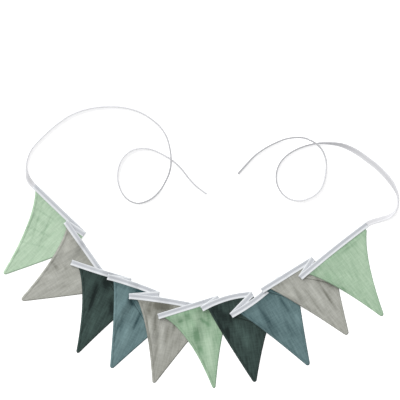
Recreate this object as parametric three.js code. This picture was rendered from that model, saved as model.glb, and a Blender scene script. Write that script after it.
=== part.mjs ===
// A fabric bunting laid on a flat surface: sewn muslin pennants under one white tape that is folded
// back and forth, so that each pennant lies partly over the one before it, with the tape's free ends
// in open loops. Lengths are millimetres. +X runs along the row, +Y away from the tips, +Z up.
import * as THREE from 'three';

// The cloth of a pennant. Its top edge is pressed thin and held inside the folded tape, which it leaves
// a little past the tape's edge. A side bows most at bowAt of its length.
const CLOTH = { thickness: 1.0, pressed: 0.6, inTape: 9.3, pastTape: 0.3, sideAtTape: 4, bowAt: 0.3 };

// The folded tape's section: two leaves and the fold that joins them along the top.
const TAPE = { width: 12, thickness: 2.0, leaf: 0.4, fold: 1.2 };

// A tie is the same tape stitched flat.
const TIE = { width: 12, thickness: 1.4, corner: 0.35, steps: 50, endGap: 0.4 };

// How layers lie on each other: the clear gap, the steepest fall of the cloth, a fold's least radius,
// the cell of the height map that the layers are piled on, and how far past its edge a layer counts.
const LAY = { gap: 0.5, slope: 0.3, foldRadius: 1.3, cell: 2, reach: 1.5, passes: 8, near: 0.01 };
const MAP = { halfX: 470, halfY: 260 };

// Steps of the surfaces. The cloth's first row below the tape ends at firstRow of a side's length.
const STEPS = { main: 9, flap: 3, turn: 4, body: 8, tip: 2, firstRow: 0.04, halving: 40, scan: 400 };

const COLOURS = {
  sage: { color: 0xa9c8ab, roughness: 0.95 },
  grey: { color: 0xa9a89f, roughness: 0.95 },
  forest: { color: 0x3a4f4b, roughness: 0.95 },
  teal: { color: 0x5d7c82, roughness: 0.95 },
  white: { color: 0xdcdce2, roughness: 0.8 },
};

// One row for each pennant, from the left. start and fold are where its stretch of tape begins and is
// folded back (tape's middle line), lead is the bare tape before the cloth, width its cut width at the
// tape, tip its point, round the point's radius, arch the tape's bow upwards, and left and right how
// far each side curves in (out, where negative).
const PENNANTS = [
  { cloth: 'sage', start: [-343, 215.5], fold: [-236, 112.5], tip: [-409, 27.5],
    width: 159, round: 6, lead: 9, arch: 0, left: 10.5, right: -1.5 },
  { cloth: 'grey', start: [-274, 137.5], fold: [-196, 26.5], tip: [-370.5, -28.5],
    width: 159, round: 7, lead: 9, arch: 0, left: 9, right: -1 },
  { cloth: 'forest', start: [-261, 51], fold: [-137, 12.5], tip: [-251, -143],
    width: 158, round: 6, lead: 17, arch: -1, left: 9.5, right: 4 },
  { cloth: 'teal', start: [-183, 20], fold: [-76, -16.5], tip: [-177.5, -175.5],
    width: 157, round: 6, lead: 12.5, arch: 2, left: 3, right: 1.5 },
  { cloth: 'grey', start: [-137, -21], fold: [2.5, -42.5], tip: [-86.5, -207.5],
    width: 159, round: 6, lead: 16.5, arch: 2, left: 7, right: 1 },
  { cloth: 'sage', start: [-74.5, -64], fold: [52, -25], tip: [43.5, -219.5],
    width: 155, round: 8, lead: 10.5, arch: 0, left: 13.5, right: 9 },
  { cloth: 'forest', start: [19, -47.5], fold: [124.5, -17], tip: [132, -205.5],
    width: 157, round: 6, lead: 10, arch: 6.5, left: -2, right: 7.5 },
  { cloth: 'teal', start: [82, -61.5], fold: [185.5, 17], tip: [247, -169.5],
    width: 153, round: 6, lead: 16, arch: -5, left: 2.5, right: 2 },
  { cloth: 'grey', start: [148, -8], fold: [255.5, 58.5], tip: [330.5, -103.5],
    width: 152, round: 7, lead: 15.5, arch: 0, left: 2.5, right: 2 },
  { cloth: 'sage', start: [230.5, 20], fold: [372.5, 133], tip: [406.5, -63.5],
    width: 157, round: 8, lead: 16, arch: 1.5, left: 6.5, right: 9 },
];

// The routes of the ties, by hand: x and y of the tape's middle, and lean, its turn from standing on
// edge (0) to lying flat (90). Where a tie crosses itself, its first or second pass goes over.
const TIE_LEFT = {
  over: 'first',
  cross: [-48.5, 270.5],
  hump: { rise: 12.6, half: 85 },
  route: [
    [-343, 215.5, 90], [-347, 219.3, 88], [-354, 228.5, 68], [-358.5, 241.5, 34],
    [-360, 255.5, 16], [-358, 271.5, 13], [-352, 288.5, 12], [-342, 303.5, 12],
    [-328, 318.5, 12], [-309, 336.5, 13], [-288, 353.5, 14], [-266, 367.5, 15],
    [-245, 376.5, 15], [-223, 382.5, 15], [-202, 385.5, 14], [-180, 386.5, 13],
    [-158, 385.5, 12], [-137, 381.5, 12], [-116, 374.5, 12], [-94, 361.5, 12],
    [-74, 344.5, 12], [-60, 324.5, 12], [-52, 300.5, 12], [-48.5, 270.5, 13],
    [-52, 245.5, 14], [-61, 224.5, 14], [-72, 206.5, 14], [-88, 190.5, 14],
    [-105, 181.5, 13], [-121, 178.5, 12], [-137, 183.5, 12], [-149, 193.5, 12],
    [-158, 208.5, 12], [-163, 224.5, 12], [-164, 239.5, 12], [-162, 254.5, 12],
    [-156, 270.5, 12], [-147, 282.5, 12], [-133, 292.5, 12], [-118, 296.5, 12],
    [-102, 296.5, 12], [-86, 292.5, 12], [-67, 283.5, 12], [-48.5, 272.5, 12],
    [-30, 256.5, 12], [-10, 231.5, 12], [5, 215.5, 12], [28, 198.5, 12],
  ],
};
const TIE_RIGHT = {
  over: 'second',
  cross: [260, 307.5],
  hump: { rise: 12.6, half: 85 },
  route: [
    [372.5, 133, 90], [377, 136.5, 88], [387, 140, 84], [402, 144.5, 74],
    [419, 150.5, 54], [430, 158.5, 30], [437, 170.5, 12], [439, 185.5, 12],
    [436, 200.5, 22], [426, 220.5, 54], [411, 239.5, 70], [395, 255.5, 74],
    [376, 270.5, 74], [357, 284.5, 72], [336, 296.5, 60], [314, 304.5, 42],
    [290, 307.5, 24], [268, 307.5, 14], [247, 303.5, 12], [226, 296.5, 12],
    [207, 286.5, 12], [190, 271.5, 12], [180, 253.5, 12], [177, 236.5, 12],
    [179, 219.5, 12], [187, 203.5, 12], [199, 191.5, 12], [214, 185.5, 12],
    [230, 184.5, 12], [247, 189.5, 12], [262, 198.5, 12], [273, 210.5, 12],
    [280, 227.5, 12], [284, 248.5, 12], [284, 268.5, 12], [278, 287.5, 12],
    [268, 301.5, 12], [254, 311.5, 12], [237, 318.5, 12], [217, 319.5, 12],
    [197, 316.5, 12], [176, 308.5, 12], [153, 296.5, 12], [131, 280.5, 14],
    [112, 260.5, 18], [95, 241.5, 20],
  ],
};

const vec = ([x, y]) => new THREE.Vector2(x, y);
const mix = (a, b, t) => a.clone().lerp(b, t);
const spaced = (from, to, steps) => Array.from({ length: steps + 1 }, (_, n) => {
  return THREE.MathUtils.lerp(from, to, n / steps);
});
const flip = (point, origin, axis) => {
  const away = point.clone().sub(origin);
  return origin.clone().add(axis.clone().multiplyScalar(2 * away.dot(axis)).sub(away));
};

// A stretch of the tape between two folds, seen from above. side is 1 where the tape's face is up and
// -1 where the tape has been folded back and its face is down; the cloth hangs to the same side.
class Leg {
  constructor(from, to, arch, side) {
    const chord = to.clone().sub(from);
    const up = new THREE.Vector2(-chord.y, chord.x).normalize().multiplyScalar(side);
    const middle = mix(from, to, 0.5).addScaledVector(up, 2 * arch);
    this.curve = new THREE.QuadraticBezierCurve(from, middle, to);
    this.length = this.curve.getLength();
    this.side = side;
    this.startCrease = this.hang(0);
    this.endCrease = this.hang(1);
  }

  hang(t) {
    const along = this.curve.getTangentAt(t);
    return new THREE.Vector2(along.y, -along.x).multiplyScalar(this.side);
  }

  // The line across the tape at t, at the length that keeps the tape's width even.
  across(t) {
    const line = mix(this.startCrease, this.endCrease, t).normalize();
    return line.divideScalar(line.dot(this.hang(t)));
  }

  at(t, v) {
    return this.curve.getPointAt(t).addScaledVector(this.across(t), v);
  }
}

// The crease between two legs lies on the line that mirrors one leg's direction into the other's.
function crease(before, after) {
  const line = before.curve.getTangentAt(1).add(after.curve.getTangentAt(0)).normalize();
  if (line.dot(before.hang(1)) < 0) line.negate();
  before.endCrease = line;
  after.startCrease = line.clone();
}

// The height of all that has been laid so far, on a map of square cells.
class Pile {
  constructor() {
    this.columns = Math.ceil((2 * MAP.halfX) / LAY.cell);
    this.rows = Math.ceil((2 * MAP.halfY) / LAY.cell);
    this.top = new Float32Array(this.columns * this.rows).fill(-LAY.gap);
    this.spread();
  }

  // The lowest surface that clears the pile and falls nowhere faster than the cloth's slope.
  spread() {
    const { columns, rows } = this;
    const tent = Float32Array.from(this.top);
    const straight = LAY.slope * LAY.cell;
    const diagonal = straight * Math.SQRT2;
    const near = [[-1, 0, straight], [0, -1, straight], [-1, -1, diagonal], [1, -1, diagonal]];
    const sweep = (sign) => {
      for (let n = 0; n < rows * columns; n += 1) {
        const cell = sign > 0 ? n : rows * columns - 1 - n;
        const column = cell % columns;
        const row = (cell - column) / columns;
        for (const [dx, dy, fall] of near) {
          const x = column + sign * dx;
          const y = row + sign * dy;
          if (x < 0 || y < 0 || x >= columns || y >= rows) continue;
          tent[cell] = Math.max(tent[cell], tent[y * columns + x] - fall);
        }
      }
    };
    sweep(1);
    sweep(-1);
    this.tent = tent;
  }

  eachCell(a, b, c, visit) {
    const index = (value, half) => (value + half) / LAY.cell - 0.5;
    const xs = [a, b, c].map((p) => index(p.x, MAP.halfX));
    const ys = [a, b, c].map((p) => index(p.y, MAP.halfY));
    const area = (xs[1] - xs[0]) * (ys[2] - ys[0]) - (xs[2] - xs[0]) * (ys[1] - ys[0]);
    if (Math.abs(area) < 1e-9) return;
    const reach = LAY.reach / LAY.cell;
    for (let row = Math.ceil(Math.min(...ys) - reach); row <= Math.max(...ys) + reach; row += 1) {
      for (let column = Math.ceil(Math.min(...xs) - reach); column <= Math.max(...xs) + reach; column += 1) {
        const share = [0, 1, 2].map((n) => {
          const m = (n + 1) % 3;
          const o = (n + 2) % 3;
          return ((xs[m] - column) * (ys[o] - row) - (xs[o] - column) * (ys[m] - row)) / area;
        });
        const inside = share.map((value) => THREE.MathUtils.clamp(value, 0, 1));
        const sum = inside[0] + inside[1] + inside[2];
        const x = inside.reduce((total, value, n) => total + (value * xs[n]) / sum, 0);
        const y = inside.reduce((total, value, n) => total + (value * ys[n]) / sum, 0);
        if (Math.hypot(x - column, y - row) > reach) continue;
        const z = (inside[0] * a.z + inside[1] * b.z + inside[2] * c.z) / sum;
        visit(row * this.columns + column, z);
      }
    }
  }

  eachTriangle(grid, visit) {
    for (let j = 0; j + 1 < grid.length; j += 1) {
      for (let k = 0; k + 1 < grid[j].length; k += 1) {
        visit([grid[j][k], grid[j][k + 1], grid[j + 1][k]]);
        visit([grid[j + 1][k], grid[j][k + 1], grid[j + 1][k + 1]]);
      }
    }
  }

  lay(grid, half) {
    this.eachTriangle(grid, ([a, b, c]) => {
      this.eachCell(a, b, c, (cell, z) => {
        this.top[cell] = Math.max(this.top[cell], z + half);
      });
    });
  }

  under(point) {
    const column = Math.round((point.x + MAP.halfX) / LAY.cell - 0.5);
    const row = Math.round((point.y + MAP.halfY) / LAY.cell - 0.5);
    return this.tent[row * this.columns + column];
  }

  // Raises a grid's points until it clears the pile: each point is { x, y, z, least, held }.
  settle(grid, half, level) {
    const over = (height) => height + LAY.gap + half;
    const even = () => {
      if (!level) return;
      for (const column of grid) {
        const z = Math.max(...column.map((point) => point.z));
        for (const point of column) point.z = z;
      }
    };
    for (const column of grid) {
      for (const point of column) {
        if (!point.held) point.z = Math.max(point.least, over(this.under(point)));
      }
    }
    even();
    for (let pass = 0; pass < LAY.passes; pass += 1) {
      this.eachTriangle(grid, (corners) => {
        let short = 0;
        this.eachCell(...corners, (cell, z) => {
          short = Math.max(short, over(this.top[cell]) - z);
        });
        if (short < LAY.near) return;
        for (const point of corners) if (!point.held) point.z += short;
      });
      even();
    }
  }
}

const place = (point, z, held = false, least = 0) => ({ x: point.x, y: point.y, z, least, held });

// Lays a leg of tape on the pile, starting no lower than the fold that it comes out of.
function layTape(pile, leg, stations, startHeight) {
  const half = TAPE.thickness / 2;
  const edge = TAPE.width / 2;
  const grid = stations.map((t) => {
    const least = Math.max(half, startHeight - LAY.slope * t * leg.length);
    return [-edge, 0, edge, 1.5 * edge].map((v) => place(leg.at(t, v), 0, false, least));
  });
  pile.settle(grid, half, true);
  leg.stations = stations;
  leg.heights = grid.map((column) => column[0].z);
  return grid;
}

// The turn of a fold: the way out of the crease, its radius, and the height where it starts.
function turnOf(leg, next) {
  const start = leg.heights[leg.heights.length - 1];
  const radius = (next.heights[0] - start) / 2;
  const out = new THREE.Vector2(leg.endCrease.y, -leg.endCrease.x);
  if (out.dot(leg.curve.getTangentAt(1)) < 0) out.negate();
  return { out, radius, start };
}

// How far along a line each of its points is, as shares of its whole length.
function sharesAlong(points) {
  let walked = 0;
  const found = points.map((point, k) => {
    if (k > 0) walked += point.distanceTo(points[k - 1]);
    return walked;
  });
  return found.map((value) => value / walked);
}

// A four-sided patch between its boundary lines, as columns of rows.
function patch(top, bottom, left, right) {
  const last = top.length - 1;
  const shares = sharesAlong(left);
  return top.map((_, j) => {
    const u = j / last;
    return shares.map((t, k) => top[j].clone().multiplyScalar(1 - t)
      .addScaledVector(bottom[j], t)
      .addScaledVector(left[k], 1 - u)
      .addScaledVector(right[k], u)
      .addScaledVector(top[0], -(1 - u) * (1 - t))
      .addScaledVector(top[last], -u * (1 - t))
      .addScaledVector(bottom[0], -(1 - u) * t)
      .addScaledVector(bottom[last], -u * t));
  });
}

// A pennant's outline below the tape, cut flat: the left side, the rounded tip and the right side.
function outline(left, tip, right, row) {
  const toLeft = left.clone().sub(tip).normalize();
  const toRight = right.clone().sub(tip).normalize();
  const half = Math.acos(toLeft.dot(toRight)) / 2;
  const inward = toLeft.clone().add(toRight).normalize();
  const corner = tip.clone().addScaledVector(inward, row.round * (1 - 1 / Math.sin(half)));
  const centre = tip.clone().addScaledVector(inward, row.round);
  const reach = row.round / Math.tan(half);
  const side = (from, depth, turn) => {
    const chord = corner.clone().sub(from);
    const inside = new THREE.Vector2(-chord.y, chord.x).normalize().multiplyScalar(turn);
    const control = from.clone().addScaledVector(chord, CLOTH.bowAt).addScaledVector(inside, 2 * depth);
    const end = corner.clone().addScaledVector(control.clone().sub(corner).normalize(), reach);
    return new THREE.QuadraticBezierCurve(from, control, end);
  };
  const leftSide = side(left, row.left, 1);
  const rightSide = side(right, row.right, -1);
  const arc = (from, to) => {
    const points = [];
    for (let n = 1; n <= STEPS.tip; n += 1) {
      const share = n / STEPS.tip;
      const radius = THREE.MathUtils.lerp(from.distanceTo(centre), to.distanceTo(centre), share);
      points.push(centre.clone().add(mix(from, to, share).sub(centre).setLength(radius)));
    }
    return points;
  };
  return { leftSide, rightSide, arc, tip };
}

// Where a side of the pennant crosses the fold line, as a share of the side's length.
function crossing(side, origin, line) {
  const away = (t) => side.getPointAt(t).sub(origin).cross(line);
  let low = 0;
  let high = 1;
  for (let n = 0; n < STEPS.halving; n += 1) {
    const middle = (low + high) / 2;
    if (away(middle) * away(0) > 0) low = middle;
    else high = middle;
  }
  return low;
}

const straight = (from, to, shares) => shares.map((t) => mix(from, to, t));

// Plans one pennant: the columns of its main part, and of the corner that is folded back over it.
function planPennant(row, run, back) {
  const edge = TAPE.width / 2 + CLOTH.pastTape;
  const inner = edge - CLOTH.inTape;
  const lead = row.lead / run.length;
  const end = back ? 1 : Math.min(1, lead + row.width / run.length);
  const mainStations = spaced(lead, end, STEPS.main);
  const top = mainStations.map((t) => run.at(t, edge));
  const rest = row.width - (end - lead) * run.length;
  const fold = top[STEPS.main];
  const ahead = run.curve.getTangentAt(end);
  const down = run.across(end).normalize();
  const corner = fold.clone().addScaledVector(ahead, rest).addScaledVector(down, CLOTH.sideAtTape);
  const shape = outline(top[0], vec(row.tip), corner, row);

  const body = [0, ...spaced(STEPS.firstRow, 1, STEPS.body)];
  const left = body.map((t) => shape.leftSide.getPointAt(t));
  left.push(...shape.arc(left[left.length - 1], shape.tip));
  const shares = sharesAlong(left);
  const sideEnd = shape.rightSide.getPointAt(1);
  const meet = back ? crossing(shape.rightSide, fold, run.endCrease) : 0;
  const foldLine = straight(fold, shape.rightSide.getPointAt(meet), shares);
  const upRight = spaced(1, meet, STEPS.main - STEPS.tip).slice(1).map((t) => shape.rightSide.getPointAt(t));
  const bottom = [shape.tip, ...shape.arc(shape.tip, sideEnd), ...upRight];
  const inTape = (leg, t) => leg.at(t, inner);
  const main = patch(top, bottom, left, foldLine);
  main.forEach((column, j) => column.unshift(inTape(run, mainStations[j])));
  if (!back) return { main, mainStations };

  const backStations = spaced(0, rest / back.length, STEPS.flap);
  const backTop = backStations.map((t) => back.at(t, edge));
  const mirrored = (t) => flip(shape.rightSide.getPointAt(t), fold, run.endCrease);
  const hem = backStations.map((_, j) => mirrored(meet * (1 - j / STEPS.flap)));
  const blunt = straight(backTop[STEPS.flap], hem[STEPS.flap], shares);
  const flap = patch(backTop, hem, foldLine, blunt);
  flap.forEach((column, j) => column.unshift(inTape(back, backStations[j])));
  return { main, mainStations, flap, backStations };
}

// Gives a plan's points their heights: the first two rows follow the tape.
function layCloth(pile, plan, leg, firstStation, foldHeights) {
  const grid = plan.map((column, j) => {
    const tape = leg.heights[firstStation + j];
    return column.map((point, k) => {
      if (k < 2) return place(point, tape, true);
      let least = Math.max(CLOTH.thickness / 2, tape - LAY.slope * point.distanceTo(column[1]));
      if (foldHeights) least = Math.max(least, foldHeights[k] - LAY.slope * point.distanceTo(plan[0][k]));
      return place(point, 0, false, least);
    });
  });
  pile.settle(grid, CLOTH.thickness / 2, false);
  return grid;
}

const UP = new THREE.Vector3(0, 0, 1);
const point3 = (point) => new THREE.Vector3(point.x, point.y, point.z);

// The columns of a turn between two layers: points with the direction of the sheet's face.
function turnColumns(lower, upper, out) {
  const columns = [];
  for (let n = 1; n < STEPS.turn; n += 1) {
    const angle = (Math.PI * n) / STEPS.turn;
    const face = new THREE.Vector3(-out.x * Math.sin(angle), -out.y * Math.sin(angle), Math.cos(angle));
    columns.push(lower.map((point, k) => {
      const radius = (upper[k].z - point.z) / 2;
      const spot = point3(point);
      spot.x += out.x * radius * Math.sin(angle);
      spot.y += out.y * radius * Math.sin(angle);
      spot.z += radius * (1 - Math.cos(angle));
      return { spot, face };
    }));
  }
  return columns;
}

// A closed sheet around columns of points, each as thick as its row says.
function sheet(columns, thicknessOf) {
  const rows = columns[0].length;
  const count = columns.length * rows;
  const positions = [];
  for (const sign of [1, -1]) {
    for (const column of columns) {
      column.forEach(({ spot, face }, k) => {
        positions.push(...spot.clone().addScaledVector(face, (sign * thicknessOf(k)) / 2).toArray());
      });
    }
  }
  const index = [];
  const quad = (a, b, c, d) => index.push(a, b, c, b, d, c);
  const front = (j, k) => j * rows + k;
  const back = (j, k) => count + front(j, k);
  for (let j = 0; j + 1 < columns.length; j += 1) {
    for (let k = 0; k + 1 < rows; k += 1) {
      quad(front(j, k), front(j, k + 1), front(j + 1, k), front(j + 1, k + 1));
      index.push(back(j, k), back(j + 1, k), back(j, k + 1));
      index.push(back(j + 1, k), back(j + 1, k + 1), back(j, k + 1));
    }
    quad(front(j, 0), front(j + 1, 0), back(j, 0), back(j + 1, 0));
    quad(front(j + 1, rows - 1), front(j, rows - 1), back(j + 1, rows - 1), back(j, rows - 1));
  }
  const last = columns.length - 1;
  for (let k = 0; k + 1 < rows; k += 1) {
    quad(front(0, k + 1), front(0, k), back(0, k + 1), back(0, k));
    quad(front(last, k), front(last, k + 1), back(last, k), back(last, k + 1));
  }
  return solid(positions, index);
}

// A closed bar of one section, swept through stations { spot, across, face }.
function sweep(section, stations) {
  const size = section.length;
  const positions = [];
  for (const { spot, across, face } of stations) {
    for (const { x, y } of section) {
      positions.push(...spot.clone().addScaledVector(across, x).addScaledVector(face, y).toArray());
    }
  }
  const index = [];
  for (let n = 0; n + 1 < stations.length; n += 1) {
    for (let m = 0; m < size; m += 1) {
      const next = (m + 1) % size;
      const a = n * size + m;
      const b = n * size + next;
      index.push(a, a + size, b, b, a + size, b + size);
    }
  }
  const base = (stations.length - 1) * size;
  for (const [a, b, c] of THREE.ShapeUtils.triangulateShape(section, [])) {
    index.push(a, b, c);
    index.push(base + a, base + c, base + b);
  }
  return solid(positions, index);
}

function solid(positions, index) {
  const geometry = new THREE.BufferGeometry();
  geometry.setAttribute('position', new THREE.Float32BufferAttribute(positions, 3));
  geometry.setIndex(index);
  geometry.computeVertexNormals();
  return geometry;
}

function addMesh(group, name, geometry, colour) {
  const mesh = new THREE.Mesh(geometry, new THREE.MeshStandardMaterial({ ...COLOURS[colour], metalness: 0 }));
  mesh.name = name;
  group.add(mesh);
}

// The tape's legs: a run for each pennant, and a leg back to where the next one starts.
function planTape() {
  const legs = [];
  PENNANTS.forEach((row, i) => {
    legs.push(new Leg(vec(row.start), vec(row.fold), row.arch, 1));
    if (i + 1 < PENNANTS.length) legs.push(new Leg(vec(row.fold), vec(PENNANTS[i + 1].start), 0, -1));
  });
  for (let n = 0; n + 1 < legs.length; n += 1) crease(legs[n], legs[n + 1]);
  return legs;
}

// Lays every layer in the order in which it was put down, and returns the legs and pennants.
function layAll() {
  const legs = planTape();
  const pile = new Pile();
  const cloth = CLOTH.thickness / 2;
  const tape = TAPE.thickness / 2;
  const fold = 2 * LAY.foldRadius;
  let start = tape;
  const pennants = PENNANTS.map((row, i) => {
    const run = legs[2 * i];
    const back = legs[2 * i + 1];
    const plan = planPennant(row, run, back);
    const runStations = [0, ...plan.mainStations];
    if (!back && plan.mainStations[STEPS.main] < 0.999) runStations.push(1);
    const runGrid = layTape(pile, run, runStations, start);
    const main = layCloth(pile, plan.main, run, 1);
    pile.lay(runGrid, tape);
    pile.lay(main, cloth);
    pile.spread();
    if (!back) return { main };

    const turned = run.heights[run.heights.length - 1] + fold;
    const backGrid = layTape(pile, back, [...plan.backStations, 1], turned);
    const foldHeights = main[STEPS.main].map((point) => point.z + fold);
    const flap = layCloth(pile, plan.flap, back, 0, foldHeights);
    pile.lay(backGrid, tape);
    pile.lay(flap, cloth);
    const { out, radius } = turnOf(run, back);
    const past = (column, half) => [column, column.map((point) => {
      return { ...point, x: point.x + out.x * (radius + half), y: point.y + out.y * (radius + half) };
    })];
    pile.lay(past(backGrid[0], tape), tape);
    pile.lay(past(flap[0], cloth), cloth);
    pile.spread();
    start = back.heights[back.heights.length - 1] + fold;
    return { main, flap, out };
  });
  return { legs, pennants };
}

function pennantGeometry({ main, flap, out }) {
  const faced = (grid, face) => grid.map((column) => column.map((point) => ({ spot: point3(point), face })));
  const columns = faced(main, UP);
  if (flap) {
    columns.push(...turnColumns(main[main.length - 1], flap[0], out));
    columns.push(...faced(flap, UP.clone().negate()));
  }
  return sheet(columns, (k) => (k < 2 ? CLOTH.pressed : CLOTH.thickness));
}

function tapeGeometry(legs) {
  const wide = TAPE.width / 2;
  const thick = TAPE.thickness / 2;
  const slot = thick - TAPE.leaf;
  const inner = TAPE.fold - wide;
  const section = [
    [-wide, -thick], [wide, -thick], [wide, -slot], [inner, -slot],
    [inner, slot], [wide, slot], [wide, thick], [-wide, thick],
  ].map(vec);
  const stations = [];
  legs.forEach((leg, n) => {
    const face = UP.clone().multiplyScalar(leg.side);
    leg.stations.forEach((t, m) => {
      const middle = leg.curve.getPointAt(t);
      const line = leg.across(t);
      const spot = new THREE.Vector3(middle.x, middle.y, leg.heights[m]);
      stations.push({ spot, across: new THREE.Vector3(line.x, line.y, 0), face });
    });
    if (n + 1 === legs.length) return;
    const { out, radius, start } = turnOf(leg, legs[n + 1]);
    const middle = leg.curve.getPointAt(1);
    const line = leg.across(1);
    const across = new THREE.Vector3(line.x, line.y, 0);
    for (let m = 1; m < STEPS.turn; m += 1) {
      const angle = (Math.PI * m) / STEPS.turn;
      const lean = Math.sin(angle);
      const spot = new THREE.Vector3(middle.x, middle.y, start + radius * (1 - Math.cos(angle)));
      spot.x += out.x * radius * lean;
      spot.y += out.y * radius * lean;
      const turned = new THREE.Vector3(-out.x * lean, -out.y * lean, Math.cos(angle));
      stations.push({ spot, across, face: turned.multiplyScalar(leg.side) });
    }
  });
  return sweep(section, stations);
}

// A tie: a flat cord on its route, its lower edge on the surface but where it passes over itself.
function tieGeometry({ route, cross, over, hump }) {
  const wide = TIE.width / 2;
  const thick = TIE.thickness / 2;
  const curve = new THREE.CatmullRomCurve3(route.map(([x, y, lean]) => new THREE.Vector3(x, y, lean)));
  const flat = new THREE.CatmullRomCurve3(route.map(([x, y]) => new THREE.Vector3(x, y, 0)));
  const length = flat.getLength();
  const half = 0.5;
  const from = over === 'first' ? 0 : half;
  const spotOver = new THREE.Vector3(...cross, 0);
  let top = from;
  for (let n = 0; n <= STEPS.scan; n += 1) {
    const t = from + (half * n) / STEPS.scan;
    const best = flat.getPointAt(top);
    const spot = flat.getPointAt(t);
    if (spot.distanceTo(spotOver) < best.distanceTo(spotOver)) top = t;
  }
  const stations = [];
  for (let n = 0; n <= TIE.steps; n += 1) {
    const t = TIE.endGap / length + (1 - TIE.endGap / length) * (n / TIE.steps);
    const spot = flat.getPointAt(t);
    const way = flat.getTangentAt(t);
    const share = flat.getUtoTmapping(t);
    const lean = THREE.MathUtils.degToRad(THREE.MathUtils.clamp(curve.getPoint(share).z, 0, 90));
    const side = new THREE.Vector3(way.y, -way.x, 0);
    const across = side.clone().multiplyScalar(Math.sin(lean)).addScaledVector(UP, Math.cos(lean));
    const face = side.clone().multiplyScalar(-Math.cos(lean)).addScaledVector(UP, Math.sin(lean));
    const away = Math.min(1, (Math.abs(t - top) * length) / hump.half);
    const lift = (hump.rise * (1 + Math.cos(Math.PI * away))) / 2;
    spot.z = wide * Math.cos(lean) + thick * Math.sin(lean) + lift;
    stations.push({ spot, across, face });
  }
  const cut = TIE.corner;
  const section = [
    [-wide, -thick + cut], [-wide + cut, -thick], [wide - cut, -thick], [wide, -thick + cut],
    [wide, thick - cut], [wide - cut, thick], [-wide + cut, thick], [-wide, thick - cut],
  ].map(vec);
  return sweep(section, stations);
}

function build() {
  const group = new THREE.Group();
  const { legs, pennants } = layAll();
  pennants.forEach((pennant, i) => {
    const name = `pennant_${String(i + 1).padStart(2, '0')}`;
    addMesh(group, name, pennantGeometry(pennant), PENNANTS[i].cloth);
  });
  addMesh(group, 'binding', tapeGeometry(legs), 'white');
  addMesh(group, 'tie_left', tieGeometry(TIE_LEFT), 'white');
  addMesh(group, 'tie_right', tieGeometry(TIE_RIGHT), 'white');
  return group;
}

export default build();
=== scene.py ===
import math

import bmesh
import bpy
import numpy as np
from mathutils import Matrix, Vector, noise
from mathutils.bvhtree import BVHTree
from mathutils.kdtree import KDTree


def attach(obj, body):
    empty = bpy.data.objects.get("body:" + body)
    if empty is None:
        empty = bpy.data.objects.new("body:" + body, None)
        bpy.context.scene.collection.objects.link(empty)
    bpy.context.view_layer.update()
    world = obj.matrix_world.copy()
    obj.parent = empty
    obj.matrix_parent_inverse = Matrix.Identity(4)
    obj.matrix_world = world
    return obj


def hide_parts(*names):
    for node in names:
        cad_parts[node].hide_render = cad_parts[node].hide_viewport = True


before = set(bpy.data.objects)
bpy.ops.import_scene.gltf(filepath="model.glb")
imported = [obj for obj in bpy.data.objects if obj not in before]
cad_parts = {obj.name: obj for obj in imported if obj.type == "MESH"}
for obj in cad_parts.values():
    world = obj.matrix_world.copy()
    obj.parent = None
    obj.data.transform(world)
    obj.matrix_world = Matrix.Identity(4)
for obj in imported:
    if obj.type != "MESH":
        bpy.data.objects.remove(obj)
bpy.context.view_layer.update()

# The ground plan is worked in millimetres, with each point a complex number: x + y j. Heights are
# millimetres too, and everything becomes metres where a mesh is made.
MM = 0.001

# The cloth of a pennant: two layers of muslin, turned right side out. Its rim is fuller, because the
# seam lies inside it, and the cloth is pressed thin where the tape holds it.
CLOTH = {
    "thick": 0.9, "thin_in_tape": 0.42, "thin_at_edge": 0.35, "edge": 1.6,
    "in_tape": 9.3, "past_tape": 0.3, "side_at_tape": 4, "bow_at": 0.3,
    "roll": 2.4, "puff": 1.0, "rim": 4.4, "rim_fall": 1.6, "rim_rise": 0.55, "clear": 0.12,
    "calm": 7, "creased": (2, 12), "off_floor": 0.02, "turn_calm": 4,
}

# Painted light and shade on the cloth: how much paler it is painted on its raised folds (darker in their
# hollows) and on its rolled edge as a painted highlight, how much darker it is painted as painted shade
# on an edge that turns from the lamp and near the tape, and how much darker along the seam inside the
# rim. Reaches are millimetres.
TONE = {
    "folds": 0.2, "edge": 0.04, "shaded_edge": 0.7, "edge_reach": (2.6, 1.2),
    "seam": 0.25, "seam_past_rim": 0.6, "seam_width": 1.1, "painted_tape_shade": 0.25, "tape_reach": 16,
}

# The tape: one strip with both edges turned under, folded in half over the cloth.
TAPE = {"width": 12, "thick": 2.0, "leaf": 0.34, "hem": 3.4, "cut": 33, "step": 3.2}

# A tie is the same tape stitched flat. It keeps a small gap to the binding, and where its loop crosses
# itself one pass rises over the other, within this far on each side.
TIE = {
    "width": 12, "thick": 1.4, "gap": 0.05, "rings": 300, "fine": 20, "rise": 12.6, "rise_half": 85,
}

# Half a tie's section, from an edge to its middle: the way in from the edge, and the share of its
# thickness there. The stitched edges are fuller than the middle.
TIE_EDGE = [(0.15, 0.6), (0.6, 1.0), (1.6, 1.0), (2.8, 0.8), (3.8, 0.72), (6, 0.72)]

# The section of the folded tape's upper leaf, from the edge that is turned under inside it, round to
# the fold: the way in from the open edge, and the height above the tape's middle.
LEAF = [
    (TAPE["hem"], 0.47), (2.0, 0.45), (0.8, 0.45), (0.25, 0.52), (0.17, 0.66), (0.3, 0.8), (0.9, 0.83),
    (1.6, 0.8), (2.3, 0.73), (3.1, 0.61), (4.0, 0.53), (5.2, 0.49), (6.6, 0.49), (8.2, 0.57),
    (9.6, 0.77), (10.6, 0.83), (11.3, 0.75), (11.7, 0.53), (11.82, 0.25),
]
FOLD_AT = 11.83

# The steps of the CAD model's grid of cloth, which the finer grid keeps to, and the share of a side
# that its first row takes.
PLAN = {"main": 9, "flap": 3, "body": 8, "tip": 2, "first_row": 0.04}

# How many finer steps each of those has, and how much closer together they are at the left edge.
FINE = {"main": 8, "left_edge": 13, "turn": 8, "flap": 8, "first": 4, "body": 9, "tip": 4}
LEFT_EDGE_POWER = 1.6

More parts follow.
